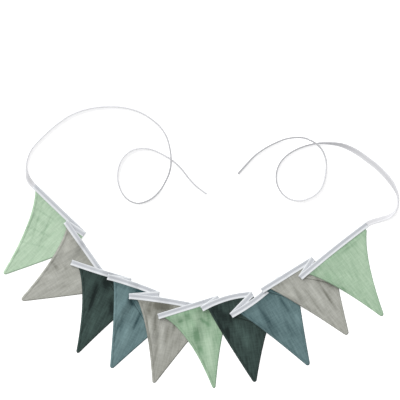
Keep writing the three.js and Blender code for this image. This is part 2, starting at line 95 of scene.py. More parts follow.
# How far a corner of the CAD model may lie from its place on the plan, the share of a run that counts
# as its end, the steps along a bowed line and round a tip, the halvings that find a crossing, and how
# softly a surface runs through its rows.
CORNER_REACH = 0.03
RUN_END = 0.999
BOW_STEPS = 200
EDGE_STEPS = {"side": 120, "tip": 10}
HALVINGS = 40
SOFTNESS = 0.4

# The search for room above a layer: how far it looks, where it starts over the cloth, its step on past
# the top of the layer's own solid, and the passes that even out what it finds.
ROOM = {"limit": 6.0, "start": 0.15, "onward": 0.05, "passes": 2}

# One row for each pennant, from the left: where its stretch of tape starts and is folded back, its tip
# and the tip's radius, its width at the tape, the bare tape before it, the tape's bow, how far its sides
# curve in, and how much paler it is painted than the others of its cloth, a painted light for how
# brightly it is lit.
PENNANTS = [
    {"cloth": "light_green", "start": -343 + 215.5j, "fold": -236 + 112.5j, "tip": -409 + 27.5j,
     "width": 159, "round": 6, "lead": 9, "arch": 0, "left": 10.5, "right": -1.5, "pale": 0.3},
    {"cloth": "grey", "start": -274 + 137.5j, "fold": -196 + 26.5j, "tip": -370.5 - 28.5j,
     "width": 159, "round": 7, "lead": 9, "arch": 0, "left": 9, "right": -1, "pale": 0.12},
    {"cloth": "dark_green", "start": -261 + 51j, "fold": -137 + 12.5j, "tip": -251 - 143j,
     "width": 158, "round": 6, "lead": 17, "arch": -1, "left": 9.5, "right": 4, "pale": -0.35},
    {"cloth": "teal", "start": -183 + 20j, "fold": -76 - 16.5j, "tip": -177.5 - 175.5j,
     "width": 157, "round": 6, "lead": 12.5, "arch": 2, "left": 3, "right": 1.5, "pale": 0.0},
    {"cloth": "grey", "start": -137 - 21j, "fold": 2.5 - 42.5j, "tip": -86.5 - 207.5j,
     "width": 159, "round": 6, "lead": 16.5, "arch": 2, "left": 7, "right": 1, "pale": -0.05},
    {"cloth": "light_green", "start": -74.5 - 64j, "fold": 52 - 25j, "tip": 43.5 - 219.5j,
     "width": 155, "round": 8, "lead": 10.5, "arch": 0, "left": 13.5, "right": 9, "pale": -0.25},
    {"cloth": "dark_green", "start": 19 - 47.5j, "fold": 124.5 - 17j, "tip": 132 - 205.5j,
     "width": 157, "round": 6, "lead": 10, "arch": 6.5, "left": -2, "right": 7.5, "pale": -0.4},
    {"cloth": "teal", "start": 82 - 61.5j, "fold": 185.5 + 17j, "tip": 247 - 169.5j,
     "width": 153, "round": 6, "lead": 16, "arch": -5, "left": 2.5, "right": 2, "pale": -0.1},
    {"cloth": "grey", "start": 148 - 8j, "fold": 255.5 + 58.5j, "tip": 330.5 - 103.5j,
     "width": 152, "round": 7, "lead": 15.5, "arch": 0, "left": 2.5, "right": 2, "pale": 0.1},
    {"cloth": "light_green", "start": 230.5 + 20j, "fold": 372.5 + 133j, "tip": 406.5 - 63.5j,
     "width": 157, "round": 8, "lead": 16, "arch": 1.5, "left": 6.5, "right": 9, "pale": -0.03},
]

# The creases, dents and soft patches of each pennant on the ground plan: from, to, how wide, how far it
# stands above the cloth (below, where negative), and how much paler it is painted: painted shade in its
# hollows and painted light on its ridges.
CREASES = {
    1: [(-342 + 150j, -315 + 127j, 5, -0.5, -0.25), (-352 + 190j, -322 + 164j, 4, -0.4, -0.2),
        (-362 + 120j, -334 + 168j, 4, -0.4, -0.2), (-330 + 112j, -302 + 140j, 4, -0.4, -0.2),
        (-372 + 84j, -352 + 104j, 6, 0.5, 0.25), (-352 + 174j, -298 + 142j, 2.5, -0.3, -0.3),
        (-340 + 196j, -364 + 112j, 2.5, -0.3, -0.25), (-324 + 180j, -350 + 92j, 2.5, -0.3, -0.25),
        (-304 + 158j, -334 + 82j, 2.5, -0.3, -0.25), (-366 + 132j, -306 + 106j, 2.5, -0.3, -0.3),
        (-380 + 98j, -322 + 84j, 2.5, -0.3, -0.25)],
    2: [(-302 + 50j, -292 + 36j, 4, -0.8, -0.5), (-277 + 44j, -274 + 36j, 4, -0.4, -0.35),
        (-268 + 92j, -236 + 58j, 6, -0.2, -0.12), (-330 + 22j, -300 + 20j, 7, 0.5, 0.25)],
    3: [(-207 + 5j, -223 - 49j, 5, -1.0, -0.7), (-191 + 14j, -187 - 4j, 9, -0.7, -0.6),
        (-177 - 32j, -176 - 57j, 7, -0.5, -0.7), (-236 - 20j, -244 - 70j, 8, 0.6, 0.35),
        (-212 - 60j, -222 - 104j, 8, 0.5, 0.3)],
    4: [(-138 - 28j, -130 - 41j, 7, -1.1, -0.8), (-113 - 55j, -129 - 92j, 4.5, -1.1, -0.7),
        (-152 - 66j, -159 - 94j, 4, -0.8, -0.45), (-124 - 8j, -106 - 12j, 5, -0.6, -0.9),
        (-160 - 76j, -172 - 120j, 3, -0.5, -0.35),
        (-166 - 30j, -170 - 74j, 8, 0.5, 0.3), (-140 - 88j, -152 - 124j, 9, 0.6, 0.35)],
    5: [(-90 - 42j, -52 - 46j, 13, -0.6, -0.9), (-99 - 46j, -92 - 66j, 8, -0.4, -0.6),
        (-82 - 60j, -82 - 96j, 5, -0.8, -0.4),
        (-41 - 78j, -42 - 95j, 5, -0.8, -0.4), (-68 - 75j, -70 - 148j, 9, 0.7, 0.4),
        (-54 - 86j, -62 - 124j, 4, -0.6, -0.35), (-96 - 62j, -88 - 130j, 5, 0.5, 0.3),
        (-102 - 60j, -94 - 150j, 3, -0.4, -0.35), (-76 - 100j, -84 - 176j, 3, -0.4, -0.3)],
    6: [(-29 - 72j, -26 - 78j, 8, -0.9, -0.7), (-16 - 58j, -8 - 72j, 9, -0.4, -0.5),
        (5 - 94j, 7 - 116j, 9, -0.9, -0.75),
        (14 - 70j, 34 - 84j, 5, -0.8, -0.6), (12 - 130j, 15 - 140j, 6, -0.7, -0.55),
        (26 - 56j, 36 - 72j, 8, -0.5, -0.45), (30 - 104j, 38 - 176j, 11, 0.6, 0.4),
        (-2 - 60j, 8 - 72j, 9, 0.4, 0.2)],
    7: [(48 - 52j, 76 - 72j, 14, -0.5, -0.55), (72 - 88j, 75 - 110j, 5, -0.9, -0.6),
        (52 - 78j, 60 - 96j, 6, -0.7, -0.45), (110 - 100j, 116 - 130j, 12, 0.6, 0.4),
        (92 - 74j, 98 - 104j, 6, 0.4, 0.25)],
    8: [(184 - 22j, 206 - 57j, 4.5, -1.0, -0.6), (142 - 48j, 172 - 94j, 9, -0.5, -0.5),
        (218 - 58j, 228 - 76j, 9, 0.6, 0.45), (196 - 74j, 216 - 108j, 6, -0.6, -0.35),
        (172 - 8j, 186 - 4j, 8, -0.5, -0.5)],
    9: [(214 - 4j, 234 - 34j, 5, -0.5, -0.4), (264 + 16j, 296 - 36j, 3, -0.6, -0.5),
        (279 - 8j, 306 - 50j, 3, -0.5, -0.4), (250 + 3j, 280 - 42j, 5, 0.7, 0.35),
        (266 + 17j, 308 - 4j, 8, -0.4, -0.5), (240 - 8j, 280 - 62j, 3, -0.5, -0.35)],
    10: [(318 + 70j, 350 + 94j, 4, -0.3, -0.25), (284 + 30j, 296 + 16j, 9, -0.5, -0.35),
         (314 - 2j, 324 - 14j, 9, -0.5, -0.3), (330 + 46j, 344 + 8j, 4, -0.3, -0.1),
         (372 + 44j, 382 - 6j, 14, 0.5, 0.25), (350 + 24j, 362 - 20j, 4, -0.3, -0.1)],
}

# How sharply a crease's height and its painted light and shade fall off beside it, and how much and how
# late it fades towards its ends.
CREASE = {"rise": 1.5, "tone": 1.2, "fade": 0.5, "fade_power": 3}

# The low folds that the cloth keeps, long down the pennant: how far apart they are across it and
# down it, how much they slant, and how high they stand.
RIPPLES = [
    {"across": 13, "down": 60, "slant": 160, "rise": 0.45},
    {"across": 7, "down": 27, "slant": -90, "rise": 0.3},
    {"across": 34, "down": 40, "slant": 200, "rise": 0.3},
]
NEXT_PENNANT = 3.1
NEXT_RIPPLE = 7

# The muslins' screen colours, from 0 to 255, where they look deepest and palest.
MUSLINS = {
    "light_green": ((110, 143, 113), (194, 215, 191)),
    "grey": ((106, 106, 97), (190, 191, 184)),
    "dark_green": ((26, 38, 36), (84, 106, 100)),
    "teal": ((46, 70, 74), (126, 152, 154)),
}

# The patterns of muslin: how many marks a metre across and down the cloth, and how much each adds to the
# colour's level, with the piece's tone, which is painted light and shade beside a darker seam line. The
# level runs from deepest to palest over its range.
# The weave is drawn out along its threads, and depths are millimetres.
MUSLIN = {
    "streaks": (230, 24, 1), "cross": (50, 340, 1), "patches": (40, 20, 1), "crinkle": (330, 90, 1),
    "slant": 0.1, "streaks_add": 0.75, "cross_add": 0.3, "patches_add": 0.3, "tone_adds": 0.6,
    "range": (0.17, 1.17), "threads": 380.0, "drawn_out": 0.02, "waver": 1.2,
    "thread_depth": 0.12, "crinkle_depth": 0.7,
}

# The two ways the white tape shows. The middles, painted greyer as painted shade, and the stitches are
# places across the strip as cut, in millimetres. The colours are those of clean cotton, the painted
# shade of its middles and the darker painted shade along their creases, and the painted shade of tape
# that stands on edge.
COTTONS = {
    "tie": {"middles": [0], "stitches": [-4.2, 4.2], "clean": (220, 220, 223),
            "middle": (212, 212, 215), "crease_shade": (196, 196, 200), "on_edge_shade": (190, 190, 193)},
    "binding": {"middles": [10.3, 22.7], "stitches": [6.6, 26.4], "clean": (218, 221, 224),
                "middle": (190, 193, 198), "crease_shade": (160, 164, 170), "on_edge_shade": (160, 164, 170)},
}

# Its marks, in millimetres: how far a middle's painted shade and the darker painted shade of its crease
# reach, the width and length of a stitch and its gap, and how deep each lies. The scales are marks a
# metre.
COTTON = {
    "soil": (40, 120, 1), "soiled": 0.9, "middle_shade_reach": (4.6, 2.8), "crease_shade_reach": (1.0, 0.3),
    "thread": (236, 237, 240), "thread_reach": (0.5, 0.25), "stitch": 1.5, "stitch_gap": (0.25, 0.5),
    "twill": 700.0, "twill_turn": 0.785, "rumple": (160, 300, 1),
    "twill_depth": 0.05, "rumple_depth": 0.4, "stitch_depth": 0.2,
}

# The routes of the ties: x and y of the tape's middle, and its turn from on edge (0) to flat (90).
TIE_LEFT = {
    "crosses": -48.5 + 270.5j, "over": "first",
    "route": [
        (-343, 215.5, 90), (-347, 219.3, 88), (-354, 228.5, 68), (-358.5, 241.5, 34),
        (-360, 255.5, 16), (-358, 271.5, 13), (-352, 288.5, 12), (-342, 303.5, 12),
        (-328, 318.5, 12), (-309, 336.5, 13), (-288, 353.5, 14), (-266, 367.5, 15),
        (-245, 376.5, 15), (-223, 382.5, 15), (-202, 385.5, 14), (-180, 386.5, 13),
        (-158, 385.5, 12), (-137, 381.5, 12), (-116, 374.5, 12), (-94, 361.5, 12),
        (-74, 344.5, 12), (-60, 324.5, 12), (-52, 300.5, 12), (-48.5, 270.5, 13),
        (-52, 245.5, 14), (-61, 224.5, 14), (-72, 206.5, 14), (-88, 190.5, 14),
        (-105, 181.5, 13), (-121, 178.5, 12), (-137, 183.5, 12), (-149, 193.5, 12),
        (-158, 208.5, 12), (-163, 224.5, 12), (-164, 239.5, 12), (-162, 254.5, 12),
        (-156, 270.5, 12), (-147, 282.5, 12), (-133, 292.5, 12), (-118, 296.5, 12),
        (-102, 296.5, 12), (-86, 292.5, 12), (-67, 283.5, 12), (-48.5, 272.5, 12),
        (-30, 256.5, 12), (-10, 231.5, 12), (5, 215.5, 12), (28, 198.5, 12),
    ],
}
TIE_RIGHT = {
    "crosses": 260 + 307.5j, "over": "second",
    "route": [
        (372.5, 133, 90), (377, 136.5, 88), (387, 140, 84), (402, 144.5, 74),
        (419, 150.5, 54), (430, 158.5, 30), (437, 170.5, 12), (439, 185.5, 12),
        (436, 200.5, 22), (426, 220.5, 54), (411, 239.5, 70), (395, 255.5, 74),
        (376, 270.5, 74), (357, 284.5, 72), (336, 296.5, 60), (314, 304.5, 42),
        (290, 307.5, 24), (268, 307.5, 14), (247, 303.5, 12), (226, 296.5, 12),
        (207, 286.5, 12), (190, 271.5, 12), (180, 253.5, 12), (177, 236.5, 12),
        (179, 219.5, 12), (187, 203.5, 12), (199, 191.5, 12), (214, 185.5, 12),
        (230, 184.5, 12), (247, 189.5, 12), (262, 198.5, 12), (273, 210.5, 12),
        (280, 227.5, 12), (284, 248.5, 12), (284, 268.5, 12), (278, 287.5, 12),
        (268, 301.5, 12), (254, 311.5, 12), (237, 318.5, 12), (217, 319.5, 12),
        (197, 316.5, 12), (176, 308.5, 12), (153, 296.5, 12), (131, 280.5, 14),
        (112, 260.5, 18), (95, 241.5, 20),
    ],
}

# The camera looks straight down, and its frame is this wide on the surface, in metres.
VIEW = {"centre": (0.0134, 0.1856), "width": 0.86, "height": 6.0, "sensor": 36.0, "reach": 50}

# A bright room, one wide soft lamp from the upper left, and a pale floor just under the cloth that
# glows a little, as a lit table does. Angles are degrees, and the floor's size is metres.
LIGHT = {"sky": 0.68, "lamp": 2.6, "lamp_height": 34, "lamp_from": 128, "lamp_spread": 70}
FLOOR = {"size": 6, "drop": 0.2, "colour": 0.95, "glow": 0.34}


def make_camera():
    data = bpy.data.cameras.new("camera")
    data.sensor_width = VIEW["sensor"]
    data.lens = VIEW["sensor"] * VIEW["height"] / VIEW["width"]
    data.clip_end = VIEW["reach"]
    camera = bpy.data.objects.new("camera", data)
    camera.location = (*VIEW["centre"], VIEW["height"])
    bpy.context.scene.collection.objects.link(camera)
    bpy.context.scene.camera = camera


def unit(line):
    return line / np.abs(line)


def dot(a, b):
    return (a * np.conj(b)).real


def blend(a, b, share):
    return a + (b - a) * share


def smooth(low, high, value):
    """0 below low, 1 above high, and a soft step between them."""
    t = np.clip((value - low) / (high - low), 0, 1)
    return t * t * (3 - 2 * t)


class Bow:
    """A line bowed by one control point. A place on it is a share of its length, from 0 to 1."""

    def __init__(self, start, control, end):
        self.start, self.control, self.end = start, control, end
        self.steps = np.linspace(0, 1, BOW_STEPS + 1)
        spans = np.abs(np.diff(self.bezier(self.steps)))
        walked = np.concatenate([[0], np.cumsum(spans)])
        self.length = walked[-1]
        self.shares = walked / self.length

    def bezier(self, t):
        return (1 - t) ** 2 * self.start + 2 * t * (1 - t) * self.control + t**2 * self.end

    def at(self, share):
        return self.bezier(np.interp(share, self.shares, self.steps))

    def along(self, share):
        t = np.interp(share, self.shares, self.steps)
        return unit((1 - t) * (self.control - self.start) + t * (self.end - self.control))


class Leg(Bow):
    """A stretch of the tape between two folds. side is 1 face up and -1 where it is folded back."""

    def __init__(self, start, end, arch, side):
        up = 1j * unit(end - start) * side
        super().__init__(start, (start + end) / 2 + 2 * arch * up, end)
        self.side = side
        self.start_crease = self.hang(0)
        self.end_crease = self.hang(1)

    def hang(self, share):
        return -1j * self.along(share) * self.side

    def across(self, share):
        line = unit(blend(self.start_crease, self.end_crease, share))
        return line / dot(line, self.hang(share))

    def spot(self, share, off):
        return self.at(share) + off * self.across(share)

    def turn(self):
        """The way that the tape goes out of the fold at its end."""
        out = -1j * self.end_crease
        return out if dot(out, self.along(1)) > 0 else -out


def plan_tape():
    """The legs of the tape: a run for each pennant, and one back to where the next starts."""
    legs = []
    for row, following in zip(PENNANTS, PENNANTS[1:] + [None]):
        legs.append(Leg(row["start"], row["fold"], row["arch"], 1))
        if following:
            legs.append(Leg(row["fold"], following["start"], 0, -1))
    for before, after in zip(legs, legs[1:]):
        line = unit(before.along(1) + after.along(0))
        if dot(line, before.hang(1)) < 0:
            line = -line
        before.end_crease = after.start_crease = line
    return legs


def stretches(legs):
    """Each pennant's row, its run of tape, and the leg folded back after it, or None at the end."""
    return list(zip(PENNANTS, legs[0::2], [*legs[1::2], None]))


class Outline:
    """A pennant's outline below the tape, cut flat: two bowed sides and a rounded tip."""

    def __init__(self, left, tip, right, row):
        radius = row["round"]
        to_left, to_right = unit(left - tip), unit(right - tip)
        half = math.acos(dot(to_left, to_right)) / 2
        inward = unit(to_left + to_right)
        self.tip = tip
        self.centre = tip + inward * radius
        self.corner = tip + inward * radius * (1 - 1 / math.sin(half))
        self.reach = radius / math.tan(half)
        self.left = self.bowed_side(left, row["left"], 1)
        self.right = self.bowed_side(right, row["right"], -1)

    def bowed_side(self, start, depth, turn):
        chord = self.corner - start
        control = start + CLOTH["bow_at"] * chord + 2j * depth * turn * unit(chord)
        return Bow(start, control, self.corner + self.reach * unit(control - self.corner))

    def arc(self, start, end, share):
        radius = blend(abs(start - self.centre), abs(end - self.centre), share)
        return self.centre + radius * unit(blend(start, end, share) - self.centre)

    def left_at(self, row):
        """The left side and half the tip: row 0 is at the tape and the last one at the tip."""
        first, body = PLAN["first_row"], PLAN["body"]
        share = np.where(row < 1, first * row, blend(first, 1, (row - 1) / body))
        round_tip = self.arc(self.left.at(1), self.tip, np.clip((row - 1 - body) / PLAN["tip"], 0, 1))
        return np.where(row <= 1 + body, self.left.at(np.clip(share, 0, 1)), round_tip)

    def right_at(self, column, meet):
        """The other half of the tip and the right side, up to where it meets the fold line."""
        tip = PLAN["tip"]
        share = blend(1, meet, (column - tip) / (PLAN["main"] - tip))
        round_tip = self.arc(self.tip, self.right.at(1), np.clip(column / tip, 0, 1))
        return np.where(column >= tip, self.right.at(np.clip(share, 0, 1)), round_tip)

    def crossing(self, origin, line):
        """Where the right side crosses a line, as a share of its length."""
        low, high = 0.0, 1.0

        def beside(share):
            return ((self.right.at(share) - origin) * np.conj(line)).imag

        first = beside(0)
        for _ in range(HALVINGS):
            middle = (low + high) / 2
            if beside(middle) * first > 0:
                low = middle
            else:
                high = middle
        return low


def patch(top, bottom, left, right, across, down):
    """A four-sided patch between its boundary lines: columns by rows of points."""
    u, t = across[:, None], down[None, :]
    corners = (top[0] * (1 - u) * (1 - t) + top[-1] * u * (1 - t)
               + bottom[0] * (1 - u) * t + bottom[-1] * u * t)
    return (top[:, None] * (1 - t) + bottom[:, None] * t
            + left[None, :] * (1 - u) + right[None, :] * u - corners)


def plan_cloth(row, run, back, columns, flap_columns, rows):
    """One pennant on the ground plan, as laid and as cut: its main part, and the corner that is
    folded back over it. columns and rows are places on the CAD model's grid; row 0 is in the tape."""
    edge = TAPE["width"] / 2 + CLOTH["past_tape"]
    inner = edge - CLOTH["in_tape"]
    lead = row["lead"] / run.length
    end = 1 if back else min(1, lead + row["width"] / run.length)
    share = blend(lead, end, columns / PLAN["main"])
    rest = row["width"] - (end - lead) * run.length
    fold = run.spot(end, edge)
    corner = fold + run.along(end) * rest + unit(run.across(end)) * CLOTH["side_at_tape"]
    shape = Outline(run.spot(lead, edge), row["tip"], corner, row)

    body = rows[rows >= 1] - 1
    left = shape.left_at(body)
    walked = np.concatenate([[0], np.cumsum(np.abs(np.diff(left)))])
    down = walked / walked[-1]
    meet = shape.crossing(fold, run.end_crease) if back else 0
    fold_line = blend(fold, shape.right.at(meet), down)
    bottom = shape.right_at(columns, meet)
    main = patch(run.spot(share, edge), bottom, left, fold_line, columns / PLAN["main"], down)
    in_tape = rows[rows < 1]

    def with_tape(leg, share, below):
        inside, outside = leg.spot(share, inner), below[:, 0]
        held = blend(inside[:, None], outside[:, None], in_tape[None, :])
        return np.concatenate([held, below], axis=1)

    main = with_tape(run, share, main)
    if not back:
        return {"main": main, "main_share": share, "shape": shape}

    axis = run.end_crease
    flap_share = blend(0, rest / back.length, flap_columns / PLAN["flap"])
    top = back.spot(flap_share, edge)
    hem = shape.right.at(meet * (1 - flap_columns / PLAN["flap"]))
    hem = fold + axis**2 * np.conj(hem - fold)
    blunt = blend(top[-1], hem[-1], down)
    flap = patch(top, hem, fold_line, blunt, flap_columns / PLAN["flap"], down)
    flap = with_tape(back, flap_share, flap)
    unfolded = fold + axis**2 * np.conj(flap - fold)
    return {"main": main, "main_share": share, "shape": shape, "flap": flap,
            "flap_share": flap_share, "unfolded": unfolded}


class Corners:
    """The corners of a CAD node as seen from above, with their heights."""

    def __init__(self, node):
        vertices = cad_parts[node].data.vertices
        self.heights = [vertex.co.z / MM for vertex in vertices]
        self.tree = KDTree(len(vertices))
        for n, vertex in enumerate(vertices):
            self.tree.insert((vertex.co.x, vertex.co.y, 0), n)
        self.tree.balance()

    def levels(self, spot):
        """The heights of the corners at a spot, lowest first."""
        found = self.tree.find_range((spot.real * MM, spot.imag * MM, 0), CORNER_REACH * MM)
        return sorted({round(self.heights[n], 2) for _, n, _ in found})

    def middle(self, spot, upper=False):
        """The middle height of the lowest layer there, or of the uppermost."""
        levels = self.levels(spot)
        pair = levels[-2:] if upper else levels[:2]
        return sum(pair) / len(pair)


def through(values, places):
    """Reads a table along its first axis at places between its rows, on a soft curve."""
    last = len(values) - 1
    low = np.clip(np.floor(places).astype(int), 0, last - 1)
    t = (places - low).reshape(-1, *[1] * (values.ndim - 1))
    start, end = values[low], values[low + 1]
    way_in = SOFTNESS * (end - values[np.maximum(low - 1, 0)])
    way_out = SOFTNESS * (values[np.minimum(low + 2, last)] - start)
    bend = (start - end + way_in) * (1 - t) + (end - start - way_out) * t
    return blend(start, end, t) + t * (1 - t) * bend


def steps(low, high, count):
    """Even places from low to high, without the first."""
    return np.linspace(low, high, count + 1)[1:]


def cad_places():
    """The columns, the flap's columns and the rows of the CAD model's grid."""
    rows = PLAN["body"] + PLAN["tip"] + 3.0
    return np.arange(PLAN["main"] + 1.0), np.arange(PLAN["flap"] + 1.0), np.arange(rows)


def fine_places():
    """The places of the fine grid on the CAD model's grid, closer together along the edges."""
    body, tip = PLAN["body"], PLAN["tip"]
    left = np.linspace(0, 1, FINE["left_edge"]) ** LEFT_EDGE_POWER
    columns = np.concatenate([left, steps(1, PLAN["main"], FINE["main"] * (PLAN["main"] - 1))])
    flap = np.linspace(0, PLAN["flap"], FINE["flap"] * PLAN["flap"] + 1)
    rows = np.concatenate([
        [0, 0.5, 1], steps(1, 2, FINE["first"]), steps(2, 2 + body, FINE["body"] * body),
        steps(2 + body, 2 + body + tip, FINE["tip"] * tip),
    ])
    return columns, flap, rows


def settled(corners, plan, name, upper, places, rows):
    """The heights of a fine grid, from the CAD model's own at its grid's crossings."""
    known = np.array([[corners.middle(spot, upper) for spot in column] for column in plan[name]])
    return through(through(known, places).T, rows).T


def spread_grid(name, spots, flat):
    """A sheet that starts as a flat grid. Its crossing of column i and row j goes to spots[i][j],
    and flat[i][j] is its place on the cloth as cut."""
    columns, rows = len(spots), len(spots[0])
    sheet = bmesh.new()
    bmesh.ops.create_grid(sheet, x_segments=columns - 1, y_segments=rows - 1, size=1)
    crossing = {}
    for vert in sheet.verts:
        i = round((vert.co.x + 1) / 2 * (columns - 1))
        j = round((1 - vert.co.y) / 2 * (rows - 1))
        crossing[vert] = (i, j)
        vert.co = Vector(spots[i][j]) * MM
    layer = sheet.loops.layers.uv.new("cloth")
    for face in sheet.faces:
        face.smooth = True
        for loop in face.loops:
            i, j = crossing[loop.vert]
            loop[layer].uv = Vector(flat[i][j]) * MM
    order = [crossing[vert] for vert in sheet.verts]
    return sheet, order


def to_object(name, sheet, material):
    mesh = bpy.data.meshes.new(name)
    sheet.to_mesh(mesh)
    sheet.free()
    mesh.materials.append(material)
    made = bpy.data.objects.new(name, mesh)
    bpy.context.scene.collection.objects.link(made)
    return made


def finish_piece(name, sheet, material, node):
    piece = to_object(name, sheet, material)
    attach(piece, "root")
    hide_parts(node)
    return piece


def point_values(piece, name, values):
    attribute = piece.data.attributes.new(name, "FLOAT", "POINT")
    attribute.data.foreach_set("value", values.astype(np.float32))


def thicken(piece, thickness, shares):
    """Gives a sheet its thickness, thinner where shares, one for each vertex, is below 1."""
    group = piece.vertex_groups.new(name="thickness")
    for n, share in enumerate(shares):
        group.add([n], float(share), "REPLACE")
    solidify = piece.modifiers.new("thickness", "SOLIDIFY")
    solidify.thickness = thickness * MM
    solidify.offset = 0
    solidify.vertex_group = group.name


class Nodes:
    """The node tree of a new material, built a node at a time."""

    def __init__(self, name):
        self.material = bpy.data.materials.new(name)
        self.material.use_nodes = True
        self.tree = self.material.node_tree
        self.shader = self.tree.nodes["Principled BSDF"]

    def set(self, node, inputs):
        for key, value in inputs.items():
            socket = node.inputs[key]
            if isinstance(value, bpy.types.NodeSocket):
                self.tree.links.new(value, socket)
            else:
                socket.default_value = value

    def add(self, kind, inputs=None, out=0, **settings):
        node = self.tree.nodes.new(kind)
        for key, value in settings.items():
            setattr(node, key, value)
        self.set(node, inputs or {})
        return node.outputs[out]

    def math(self, operation, a, b=0.0):
        return self.add("ShaderNodeMath", {0: a, 1: b}, operation=operation)

    def ramp(self, value, low, high):
        """0 at low and below, 1 at high and above."""
        return self.add("ShaderNodeMapRange", {"Value": value, "From Min": low, "From Max": high})

    def mix(self, share, a, b):
        """A mix of two colours, which are the node's inputs 6 and 7."""
        return self.add("ShaderNodeMix", {0: share, 6: a, 7: b}, out=2, data_type="RGBA")

    def cloth_place(self, scale, turn=0.0):
        """The place on the cloth as cut, in metres, turned and stretched."""
        place = self.add("ShaderNodeUVMap", uv_map="cloth")
        inputs = {"Vector": place, "Scale": scale, "Rotation": (0, 0, turn)}
        return self.add("ShaderNodeMapping", inputs)

    def noise(self, place, detail=2.0, roughness=0.5):
        inputs = {"Vector": place, "Scale": 1.0, "Detail": detail, "Roughness": roughness}
        return self.add("ShaderNodeTexNoise", inputs)

    def bump(self, height, distance, strength, normal=None):
        inputs = {"Height": height, "Distance": distance, "Strength": strength}
        if normal:
            inputs["Normal"] = normal
        return self.add("ShaderNodeBump", inputs)


def linear(screen, share=1.0):
    """A shader colour from the 0 to 255 values of a screen colour, darker where share is below 1."""
    def convert(value):
        value /= 255
        return value / 12.92 if value <= 0.04045 else ((value + 0.055) / 1.055) ** 2.4
    return (*(convert(value) * share for value in screen), 1.0)


def muslin(name, deep, pale):
    """Crinkled double muslin: an open weave with soft streaks down the cloth."""
    n = Nodes(name)
    slant = MUSLIN["slant"]
    streaks = n.noise(n.cloth_place(MUSLIN["streaks"], slant), detail=4.0, roughness=0.65)
    cross = n.noise(n.cloth_place(MUSLIN["cross"], slant))
    patches = n.noise(n.cloth_place(MUSLIN["patches"]))
    # The tone attribute is painted light and shade on folds, creases, edges and near the tape, and per
    # pennant, with a darker seam line.
    tone = n.add("ShaderNodeAttribute", out=2, attribute_name="tone")
    level = n.math("MULTIPLY", tone, MUSLIN["tone_adds"])
    for pattern, share in ((streaks, "streaks_add"), (cross, "cross_add"), (patches, "patches_add")):
        level = n.math("ADD", level, n.math("MULTIPLY", pattern, MUSLIN[share]))
    colour = n.mix(n.ramp(level, *MUSLIN["range"]), linear(deep), linear(pale))

    threads = {"Scale": MUSLIN["threads"], "Distortion": MUSLIN["waver"], "Detail": 1.0}
    down, across = n.cloth_place((1, MUSLIN["drawn_out"], 1)), n.cloth_place((MUSLIN["drawn_out"], 1, 1))
    warp = n.add("ShaderNodeTexWave", {"Vector": down, **threads}, out=1)
    weft = n.add("ShaderNodeTexWave", {"Vector": across, **threads}, out=1, bands_direction="Y")
    weave = n.math("MULTIPLY", warp, weft)
    crinkle = n.noise(n.cloth_place(MUSLIN["crinkle"], slant), detail=3.0, roughness=0.6)
    normal = n.bump(weave, MUSLIN["thread_depth"] * MM, strength=0.5)
    normal = n.bump(crinkle, MUSLIN["crinkle_depth"] * MM, strength=0.7, normal=normal)
    n.set(n.shader, {"Base Color": colour, "Normal": normal, "Roughness": 0.95,
                     "Specular IOR Level": 0.2, "Sheen Weight": 0.1, "Sheen Roughness": 0.5})
    return n.material


def cotton_tape(name, look):
    """White cotton tape with a fine twill, painted greyer as painted shade along each leaf's middle,
    darker still along its crease, and where it stands on edge, and with running stitches."""
    n = Nodes(name)
    soil = n.noise(n.cloth_place(COTTON["soil"]))
    colour = n.mix(soil, linear(look["clean"], COTTON["soiled"]), linear(look["clean"]))
    place = n.add("ShaderNodeUVMap", uv_map="cloth")
    length = n.add("ShaderNodeSeparateXYZ", {0: place})
    width = n.add("ShaderNodeSeparateXYZ", {0: place}, out=1)

    def within(distance, reach):
        return n.ramp(distance, *(limit * MM for limit in COTTON[reach]))

    for line in look["middles"]:
        beside = n.math("ABSOLUTE", n.math("SUBTRACT", width, line * MM))
        # Painted shade along the leaf's middle, in the hollow between its fuller edges, and darker
        # painted shade along its crease.
        colour = n.mix(within(beside, "middle_shade_reach"), colour, linear(look["middle"]))
        crease_shade_share = n.math("MULTIPLY", within(beside, "crease_shade_reach"), soil)
        colour = n.mix(crease_shade_share, colour, linear(look["crease_shade"]))
    # Painted shade where the tape stands on edge, by the share of upright.
    upright = n.add("ShaderNodeAttribute", out=2, attribute_name="upright")
    colour = n.mix(upright, colour, linear(look["on_edge_shade"]))
    stitch_height = 0.0
    for line in look["stitches"]:
        beside = n.math("ABSOLUTE", n.math("SUBTRACT", width, line * MM))
        on_line = within(beside, "thread_reach")
        on_stitch = within(n.math("PINGPONG", length, COTTON["stitch"] * MM), "stitch_gap")
        thread = n.math("MULTIPLY", on_line, on_stitch)
        colour = n.mix(thread, colour, linear(COTTON["thread"]))
        stitch_height = n.math("MAXIMUM", stitch_height, thread)
    across = n.cloth_place((1, 1, 1), COTTON["twill_turn"])
    twill = {"Vector": across, "Scale": COTTON["twill"], "Distortion": 0.6}
    weave = n.add("ShaderNodeTexWave", twill, out=1)
    rumple = n.noise(n.cloth_place(COTTON["rumple"]))
    normal = n.bump(weave, COTTON["twill_depth"] * MM, strength=0.4)
    normal = n.bump(rumple, COTTON["rumple_depth"] * MM, strength=0.5, normal=normal)
    normal = n.bump(stitch_height, COTTON["stitch_depth"] * MM, strength=0.8, normal=normal)
    n.set(n.shader, {"Base Color": colour, "Normal": normal, "Roughness": 0.85,
                     "Specular IOR Level": 0.3, "Sheen Weight": 0.1, "Sheen Roughness": 0.5})
    return n.material


